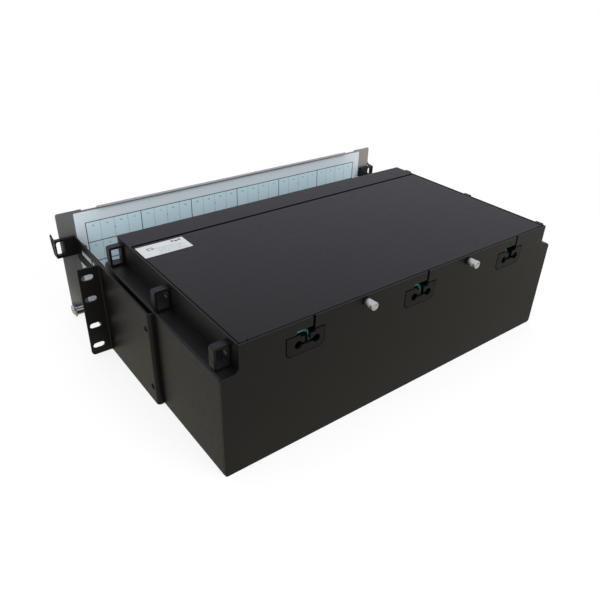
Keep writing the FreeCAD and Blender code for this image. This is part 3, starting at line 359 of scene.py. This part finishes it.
def roundedCopy(name, width):
    node = nodes[name]
    bm = bmesh.new()
    bm.from_mesh(node.data)
    bmesh.ops.remove_doubles(bm, verts=bm.verts, dist=mergeGap)
    flat = math.radians(edgeAngles["join"])
    bmesh.ops.dissolve_limit(bm, angle_limit=flat, verts=bm.verts, edges=bm.edges)
    if name == "front_door":
        for side in (1, -1):
            trimDoorEnds(bm, side)
        for side in (1, -1):
            roundDoorCorner(bm, side)
    least = math.radians(edgeAngles["round"])
    roundEdges(bm, [e for e in bm.edges if e.is_manifold and e.calc_face_angle() > least], width)
    piece = meshObject(name + ".rounded", bm, node.data.materials[0], node["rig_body"])
    piece.data.shade_smooth()
    piece.data.set_sharp_from_angle(angle=math.radians(edgeAngles["sharp"]))
    piece.modifiers.new("evenShading", "WEIGHTED_NORMAL").keep_sharp = True
    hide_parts(name)


for name, width in edgeRounds.items():
    roundedCopy(name, width)
print("rounded edges on", len(edgeRounds), "pieces")


# Printing on the label sheet: six blocks of four columns, with plain port numbers

sheetPrint = {
    "halfWidth": 198.9,
    "top": 111.0,
    "rowPitch": 24.5,
    "foot": 2.0,  # the lowest line stays this far above the sheet's lower edge
    "lineWidth": 0.9,
    "fineWidth": 0.35,
    "inkHeight": 0.06,
    "fineHeight": 0.04,
    "tintHeight": 0.03,
    "numberSize": 2.8,
    "numberDrop": 5.0,
    "blockSize": 3.4,
    "blockDrop": 12.5,
}


def bar(bm, low, high):
    # a box between two corners, in millimetres: a bar of ink or a cap
    made = bmesh.ops.create_cube(bm, size=1.0)["verts"]
    low, high = Vector(low) * mm, Vector(high) * mm
    bmesh.ops.scale(bm, verts=made, vec=high - low)
    bmesh.ops.translate(bm, verts=made, vec=(low + high) / 2)


def addNumber(bm, text, size, place):
    # type as a thin mesh on the door's inside: closed, the numbers stand on their heads, because
    # they are read with the door dropped open
    curve = bpy.data.curves.new("number", "FONT")
    curve.body = text
    curve.size = size * mm
    curve.align_x = "CENTER"
    curve.align_y = "CENTER"
    curve.resolution_u = 2
    item = bpy.data.objects.new("number", curve)
    mesh = bpy.data.meshes.new_from_object(item)
    turn = Matrix(((1, 0, 0, 0), (0, 0, 1, 0), (0, -1, 0, 0), (0, 0, 0, 1)))
    mesh.transform(Matrix.Translation(Vector(place) * mm) @ turn)
    bm.from_mesh(mesh)
    bpy.data.objects.remove(item)
    bpy.data.curves.remove(curve)
    bpy.data.meshes.remove(mesh)


def printSheet():
    look = sheetPrint
    low, high = boxOf("label_sheet")
    face = high.y
    inkTop = face + look["inkHeight"]
    left, right, top = -look["halfWidth"], look["halfWidth"], look["top"]
    lowest = low.z + look["foot"]
    bottom = max(top - rows * look["rowPitch"], lowest)
    pitch = (right - left) / blocks
    ports = blocks * portsPerBlock
    tint, bold, fine, numbers = bmesh.new(), bmesh.new(), bmesh.new(), bmesh.new()
    wide, thin = look["lineWidth"] / 2, look["fineWidth"] / 2
    bar(tint, (left, face, bottom), (right, face + look["tintHeight"], top))
    for i in range(rows + 1):
        level = max(top - i * look["rowPitch"], lowest)
        bar(bold, (left - wide, face, level - wide), (right + wide, inkTop, level + wide))
    for i in range(blocks + 1):
        x = left + i * pitch
        bar(bold, (x - wide, face, bottom), (x + wide, inkTop, top))
    for i in range(ports):
        if i % portsPerBlock:
            x = left + i * pitch / portsPerBlock
            bar(fine, (x - thin, face, bottom), (x + thin, face + look["fineHeight"], top))
    for row in range(rows):
        level = top - (rows - 1 - row) * look["rowPitch"]
        for i in range(ports):
            x = left + (i + 0.5) * pitch / portsPerBlock
            place = (x, inkTop, level - look["numberDrop"])
            addNumber(numbers, str(row * ports + i + 1), look["numberSize"], place)
        for i in range(blocks):
            place = (left + (i + 0.5) * pitch, inkTop, level - look["blockDrop"])
            addNumber(numbers, str(i + 1), look["blockSize"], place)
    meshObject("sheet_table", tint, tableTint, "door")
    meshObject("sheet_lines", bold, darkInk, "door")
    meshObject("sheet_fine_lines", fine, paleInk, "door")
    meshObject("sheet_numbers", numbers, darkInk, "door")


printSheet()
print("label sheet printed")


# Generic marks on the cover label: ruled lines, an empty box and three short bars

coverPrint = {
    "inkHeight": 0.05,
    "margin": 2.6,
    "rules": 6,
    "rule": 0.45,
    "ruleGap": 2.3,
    "indents": (0.0, 3.0, 6.0),
    "dashes": (4.2, 2.4, 5.6, 3.2, 4.8, 2.0),
    "dashGap": 1.0,
    "clear": 16.0,  # no dash starts nearer than this to the right margin
    "box": (5.4, 3.8),
    "boxPlace": (12.0, 4.0),
    "frame": 0.8,
    "bars": 3,
    "barSize": (3.0, 2.6),
    "barPitch": 3.8,
    "barIndent": 1.0,
}


def printRules(look, low, high, top):
    pale = bmesh.new()
    for i in range(look["rules"]):
        y = high.y - look["margin"] - i * look["ruleGap"]
        x = low.x + look["margin"] + look["indents"][i % len(look["indents"])]
        dash = i
        while x < high.x - look["margin"] - look["clear"]:
            end = x + look["dashes"][dash % len(look["dashes"])]
            bar(pale, (x, y - look["rule"], high.z), (end, y, top))
            x = end + look["dashGap"]
            dash += 1
    return pale


def printBoxAndBars(look, low, high, top):
    dark = bmesh.new()
    x = high.x - look["margin"] - look["boxPlace"][0]
    y = low.y + look["margin"] + look["boxPlace"][1]
    width, depth = look["box"]
    line = look["frame"]
    for inset in (0, 1):
        side, foot = x + inset * width, y + inset * depth
        bar(dark, (x, foot, high.z), (x + width, foot + line, top))
        bar(dark, (side, y, high.z), (side + line, y + depth + line, top))
    wide, deep = look["barSize"]
    for i in range(look["bars"]):
        x = low.x + look["margin"] + look["barIndent"] + i * look["barPitch"]
        y = low.y + look["margin"] + i % 2
        bar(dark, (x, y, high.z), (x + wide, y + deep, top))
    return dark


def printCoverLabel():
    low, high = boxOf("cover_label")
    top = high.z + coverPrint["inkHeight"]
    dark = printBoxAndBars(coverPrint, low, high, top)
    meshObject("cover_label_marks", dark, darkInk, "cover")
    pale = printRules(coverPrint, low, high, top)
    meshObject("cover_label_rules", pale, paleInk, "cover")


printCoverLabel()
print("cover label marked")


# Turned pieces: a profile of (radius, place along the axis) pairs spun about its own axis

def spinProfile(bm, profile, middle, axis, steps):
    # axis "X" or "Y"; the middle has a zero along it; everything in millimetres
    along = Vector((1, 0, 0)) if axis == "X" else Vector((0, 1, 0))
    middle = Vector(middle)
    points = []
    for radius, place in profile:
        points.append(bm.verts.new((middle + Vector((0, 0, radius)) + along * place) * mm))
    edges = [bm.edges.new(pair) for pair in zip(points, points[1:])]
    bmesh.ops.spin(bm, geom=points + edges, cent=middle * mm, axis=along, angle=math.tau,
                   steps=steps, use_merge=True, use_duplicate=False)


def turnedPiece(name, bm, material, sharp):
    bmesh.ops.remove_doubles(bm, verts=bm.verts, dist=mergeGap)
    bmesh.ops.recalc_face_normals(bm, faces=bm.faces)
    piece = meshObject(name + ".turned", bm, material, nodes[name]["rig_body"])
    piece.data.shade_smooth()
    piece.data.set_sharp_from_angle(angle=math.radians(sharp))
    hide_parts(name)


# Thumbscrews: a straight knurl on the barrel and a rounded recessed head

thumbscrew = {
    "teeth": 36,
    "knurlDepth": 0.28,
    "stem": 2.0,  # a radius, as are the barrel, the neck and the head
    "knob": 9.8,  # length from the barrel's start to the head's face
    "barrel": 3.75,
    "barrelLength": 6.0,
    "neck": 3.35,
    "neckEnd": 7.0,  # from the barrel's start
    "head": 4.0,
    "rim": 1.3,
    "recess": 0.9,
    "sharp": 40,  # edges above this angle in degrees stay sharp, here and on the other turned pieces
}


def turnThumbscrew(name):
    look = thumbscrew
    low, high = boxOf(name)
    start, end = low.y, high.y
    knob = end - look["knob"]
    barrelEnd, neckEnd = knob + look["barrelLength"], knob + look["neckEnd"]
    stem, barrel, neck, head = look["stem"], look["barrel"], look["neck"], look["head"]
    bore, deep = head - look["rim"], end - look["recess"]
    profile = [
        (0.0, start), (stem - 0.4, start), (stem, start + 0.4), (stem, knob),
        (barrel - 0.5, knob), (barrel, knob + 0.5), (barrel, barrelEnd),
        (neck, barrelEnd + 0.4), (neck, neckEnd), (head - 0.3, neckEnd + 0.3), (head, neckEnd + 0.6),
        (head, end - 0.5), (head - 0.15, end - 0.15), (head - 0.5, end),
        (bore, end), (bore - 0.3, end - 0.3), (bore - 0.5, deep), (0.0, deep),
    ]
    middle = Vector(((low.x + high.x) / 2, 0, (low.z + high.z) / 2))
    bm = bmesh.new()
    spinProfile(bm, profile, middle, "Y", 2 * look["teeth"])
    step = math.tau / (2 * look["teeth"])
    for vert in bm.verts:
        out = (vert.co / mm - middle) * Vector((1, 0, 1))
        onBarrel = knob + 0.4 < vert.co.y / mm < barrelEnd + 0.1
        if onBarrel and round(math.atan2(out.z, out.x) / step) % 2:
            vert.co -= out.normalized() * look["knurlDepth"] * mm
    turnedPiece(name, bm, nickel, look["sharp"])


for name in ("thumbscrew_right", "thumbscrew_left"):
    turnThumbscrew(name)
print("thumbscrews turned")


# Hinge pins: a riveted inner end, a shoulder between the lugs and a wide domed outer head

hingePin = {
    # here and on the screws, places along the axis are counted from the middle of the panel
    "profile": [
        (0.0, 209.1), (2.6, 209.1), (3.3, 209.7), (3.4, 210.3), (3.4, 211.5), (2.0, 211.5), (2.0, 213.0),
        (2.7, 213.0), (2.7, 227.6), (2.0, 227.6), (2.0, 229.9), (5.6, 229.9), (6.0, 230.3), (6.0, 230.9),
        (5.7, 231.3), (4.6, 231.8), (2.6, 232.2), (0.0, 232.3),
    ],
    "steps": 64,
    "sharp": 35,
}


def turnHingePins():
    low, high = boxOf("hinge_pins")
    middle = (0, (low.y + high.y) / 2, (low.z + high.z) / 2)
    bm = bmesh.new()
    for side in (1, -1):
        profile = [(radius, side * x) for radius, x in hingePin["profile"]]
        spinProfile(bm, profile, middle, "X", hingePin["steps"])
    turnedPiece("hinge_pins", bm, zinc, hingePin["sharp"])


turnHingePins()
print("hinge pins turned")


# Bracket and ring screws: low round heads with a hexagon socket

socketScrews = {
    # each screw is at its (y, z) on both sides; past the neck, only the socket's corners are nearer
    # to the screw's axis than its "socket" radius
    "bracket_screws": {
        "places": [(9.0, 18.0), (9.0, 84.5), (105.0, 18.0), (105.0, 84.5)],
        "profile": [
            (0.0, 209.1), (1.6, 209.1), (2.0, 209.5), (2.0, 219.2), (3.0, 219.2), (3.0, 219.5),
            (2.85, 219.85), (2.4, 220.1), (1.25, 220.1), (1.15, 219.4), (0.0, 219.4),
        ],
        "neck": 210.5,
        "socket": 1.35,
        "steps": 36,
        "sharp": 35,
        "finish": blackZinc,
    },
    "ring_screws": {
        "places": [(9.5, 115.1), (111.5, 115.1), (213.5, 115.1)],
        "profile": [
            (0.0, 194.1), (1.2, 194.1), (1.5, 194.4), (1.5, 198.9), (2.2, 198.9), (2.2, 199.2),
            (2.1, 199.6), (1.7, 199.8), (0.95, 199.8), (0.85, 199.2), (0.0, 199.2),
        ],
        "neck": 195.4,
        "socket": 1.0,
        "steps": 36,
        "sharp": 35,
        "finish": greyZinc,
    },
}


def turnSocketScrews(name):
    look = socketScrews[name]
    bm = bmesh.new()
    for side in (1, -1):
        profile = [(radius, side * x) for radius, x in look["profile"]]
        for place in look["places"]:
            spinProfile(bm, profile, (0, *place), "X", look["steps"])
    for vert in bm.verts:
        x, y, z = (part / mm for part in vert.co)
        ways = [Vector((0, y - place[0], z - place[1])) for place in look["places"]]
        out = min(ways, key=lambda way: way.length)
        if abs(x) > look["neck"] and 0.1 < out.length < look["socket"]:
            # a flat's middle is nearer than its corners: the round socket is drawn in to a hexagon
            turn = math.atan2(out.z, out.y) % (math.pi / 3) - math.pi / 6
            vert.co += out * (math.cos(math.pi / 6) / math.cos(turn) - 1) * mm
    turnedPiece(name, bm, look["finish"], look["sharp"])


for name in socketScrews:
    turnSocketScrews(name)
print("socket screws turned")


# Dust caps: two caps side by side in each duplex adaptor, each with a round pull

dustCap = {
    "columnPitch": 66.0,
    "rowPitch": 24.0,
    "firstRow": 16.0,
    "duplexPitch": 14.0,
    "portPitch": 5.7,
    "width": 5.2,
    "height": 6.4,
    "back": -10.5,  # along Y, as are the front and the pull's end
    "front": -14.5,
    "round": 0.6,
    "pull": 1.0,
    "pullEnd": -16.5,
    "steps": 12,
    "sharp": 50,
}


def capPlaces():
    look = dustCap
    places = []
    for column in range(blocks):
        for row in range(rows):
            z = look["firstRow"] + row * look["rowPitch"]
            for duplex in range(portsPerBlock):
                x = (column - (blocks - 1) / 2) * look["columnPitch"]
                x += (duplex - (portsPerBlock - 1) / 2) * look["duplexPitch"]
                places.append((x - look["portPitch"] / 2, z))
                places.append((x + look["portPitch"] / 2, z))
    return places


def mouldCaps():
    look = dustCap
    halfWide, halfHigh = look["width"] / 2, look["height"] / 2
    front, end, pull = look["front"], look["pullEnd"], look["pull"]
    bm = bmesh.new()
    for x, z in capPlaces():
        bar(bm, (x - halfWide, front, z - halfHigh), (x + halfWide, look["back"], z + halfHigh))
    roundEdges(bm, bm.edges[:], look["round"])
    profile = [
        (pull + 0.3, front), (pull, front - 0.3), (pull, end + 0.4), (pull - 0.3, end + 0.1), (0.0, end),
    ]
    for x, z in capPlaces():
        spinProfile(bm, profile, (x, 0, z), "Y", look["steps"])
    turnedPiece("dust_caps", bm, capPlastic, look["sharp"])


mouldCaps()
print("dust caps moulded")


# Floor and room: white to the camera and in reflections, softer where they light the object

stage = {
    "floorSize": 12.0,  # metres, as are its drop and the distances at which it fades to white
    "floorDrop": 0.0002,
    "floorColour": "#fbfbfa",
    "fadeStart": 0.35,
    "fadeEnd": 0.9,
    "nearGlow": 0.8,  # how white the near floor is to the camera, apart from the object's shadow
    "mirrorNear": 0.58,  # how bright reflections show the floor, near and far
    "mirrorFar": 1.0,
    "worldLight": 0.72,
    "worldTint": "#e8e6f6",  # the room and the floor as reflections show them
    "floorTint": "#fff6e6",
}
white = srgb("#ffffff")


def seenRays(tree):
    # 1 where the camera or a reflection looks and 0 where light is gathered, then 1 for the camera alone
    path = addNode(tree, "ShaderNodeLightPath", {}, {})
    camera = path.outputs["Is Camera Ray"]
    sockets = {0: camera, 1: path.outputs["Is Glossy Ray"]}
    first = addNode(tree, "ShaderNodeMath", {"operation": "MAXIMUM"}, sockets).outputs[0]
    sockets = {0: first, 1: path.outputs["Is Transmission Ray"]}
    seen = addNode(tree, "ShaderNodeMath", {"operation": "MAXIMUM"}, sockets).outputs[0]
    return seen, camera


def makeFloorMaterial():
    # matt pale paper, which keeps the object's shadow near it and fades to plain white
    plain = {"Roughness": 0.9, "Specular IOR Level": 0.1, "Base Color": srgb(stage["floorColour"])}
    material, tree, shader, coords = newMaterial("paleStudioFloor", plain)
    seen, camera = seenRays(tree)
    mirror = addNode(tree, "ShaderNodeMath", {"operation": "SUBTRACT"}, {0: seen, 1: camera}).outputs[0]
    distance = addNode(tree, "ShaderNodeVectorMath", {"operation": "LENGTH"}, {0: coords}).outputs["Value"]
    sockets = {"Value": distance, "From Min": stage["fadeStart"], "From Max": stage["fadeEnd"]}
    fade = addNode(tree, "ShaderNodeMapRange", {"interpolation_type": "SMOOTHSTEP"}, sockets)
    away = fade.outputs["Result"]
    sockets = {"Value": away, "To Min": stage["nearGlow"], "To Max": 1.0}
    shown = addNode(tree, "ShaderNodeMapRange", {}, sockets).outputs["Result"]
    sockets = {"Value": away, "To Min": stage["mirrorNear"], "To Max": stage["mirrorFar"]}
    mirrored = addNode(tree, "ShaderNodeMapRange", {}, sockets).outputs["Result"]
    direct = addNode(tree, "ShaderNodeMath", {"operation": "MULTIPLY"}, {0: camera, 1: shown}).outputs[0]
    share = addNode(tree, "ShaderNodeMath", {"operation": "ADD"}, {0: direct, 1: mirror}).outputs[0]
    strength = addNode(tree, "ShaderNodeMath", {"operation": "MAXIMUM"}, {0: camera, 1: mirrored}).outputs[0]
    sockets = {0: camera, 6: srgb(stage["floorTint"]), 7: white}
    tint = addNode(tree, "ShaderNodeMix", {"data_type": "RGBA"}, sockets).outputs[2]
    glow = addNode(tree, "ShaderNodeEmission", {}, {"Color": tint, "Strength": strength}).outputs[0]
    mix = addNode(tree, "ShaderNodeMixShader", {}, {0: share, 1: shader.outputs[0], 2: glow}).outputs[0]
    tree.links.new(mix, tree.nodes["Material Output"].inputs["Surface"])
    return material


def makeFloor():
    bm = bmesh.new()
    bmesh.ops.create_grid(bm, x_segments=1, y_segments=1, size=stage["floorSize"] / 2)
    bmesh.ops.translate(bm, verts=bm.verts, vec=(0, 0, -stage["floorDrop"]))
    mesh = bpy.data.meshes.new("studio_floor")
    bm.to_mesh(mesh)
    bm.free()
    mesh.materials.append(makeFloorMaterial())
    floor = bpy.data.objects.new("studio_floor", mesh)
    bpy.context.scene.collection.objects.link(floor)


def makeWorld():
    world = bpy.data.worlds.new("softWhiteRoom")
    world.use_nodes = True
    tree = world.node_tree
    seen, camera = seenRays(tree)
    mirror = addNode(tree, "ShaderNodeMath", {"operation": "SUBTRACT"}, {0: seen, 1: camera}).outputs[0]
    sockets = {"Value": seen, "To Min": stage["worldLight"], "To Max": 1.0}
    strength = addNode(tree, "ShaderNodeMapRange", {}, sockets).outputs["Result"]
    sockets = {0: mirror, 6: white, 7: srgb(stage["worldTint"])}
    tint = addNode(tree, "ShaderNodeMix", {"data_type": "RGBA"}, sockets).outputs[2]
    tree.links.new(tint, tree.nodes["Background"].inputs["Color"])
    tree.links.new(strength, tree.nodes["Background"].inputs["Strength"])
    bpy.context.scene.world = world


# Three soft panels: above, beside and behind

lamps = {
    # place and target in metres, size of the panel in metres, power in watts
    "topPanel": {"place": (0.2, 0.1, 1.6), "target": (0, 0.05, 0.1), "size": 1.6, "power": 9.0},
    "sidePanel": {"place": (1.5, 0.5, 0.9), "target": (0, 0.1, 0.05), "size": 1.0, "power": 4.0},
    "rearPanel": {"place": (-0.35, 1.5, 0.9), "target": (0, -0.09, 0.07), "size": 1.2, "power": 14.0},
}


def makeLamps():
    for name, lamp in lamps.items():
        light = bpy.data.lights.new(name, "AREA")
        light.size = lamp["size"]
        light.energy = lamp["power"]
        item = bpy.data.objects.new(name, light)
        item.location = lamp["place"]
        item.rotation_mode = "QUATERNION"
        item.rotation_quaternion = (Vector(lamp["target"]) - item.location).to_track_quat("-Z", "Y")
        item.visible_glossy = False
        bpy.context.scene.collection.objects.link(item)


# The photograph's camera, at the angle and distance found from the object's own sizes

photoCamera = {
    "place": (383.8, 543.2, 392.0),
    "azimuth": 142.14,
    "elevation": 31.25,
    "roll": 1.83,
    "focalPixels": 598.8,
    "framePixels": 600,
}


def makeCamera():
    look = photoCamera
    data = bpy.data.cameras.new("photoCamera")
    data.lens = data.sensor_width * look["focalPixels"] / look["framePixels"]
    data.clip_start = 0.01
    camera = bpy.data.objects.new("photoCamera", data)
    azimuth, elevation = math.radians(look["azimuth"]), math.radians(look["elevation"])
    reach = math.cos(elevation)
    back = Vector((math.sin(azimuth) * reach, -math.cos(azimuth) * reach, math.sin(elevation)))
    level = (-back).to_track_quat("-Z", "Y")
    camera.rotation_mode = "QUATERNION"
    camera.rotation_quaternion = level @ Quaternion((0, 0, 1), math.radians(look["roll"]))
    camera.location = Vector(look["place"]) * mm
    bpy.context.scene.collection.objects.link(camera)
    bpy.context.scene.camera = camera


makeFloor()
makeWorld()
makeLamps()
makeCamera()
bpy.context.scene.view_settings.view_transform = "Standard"
print("stage, lamps and camera set")
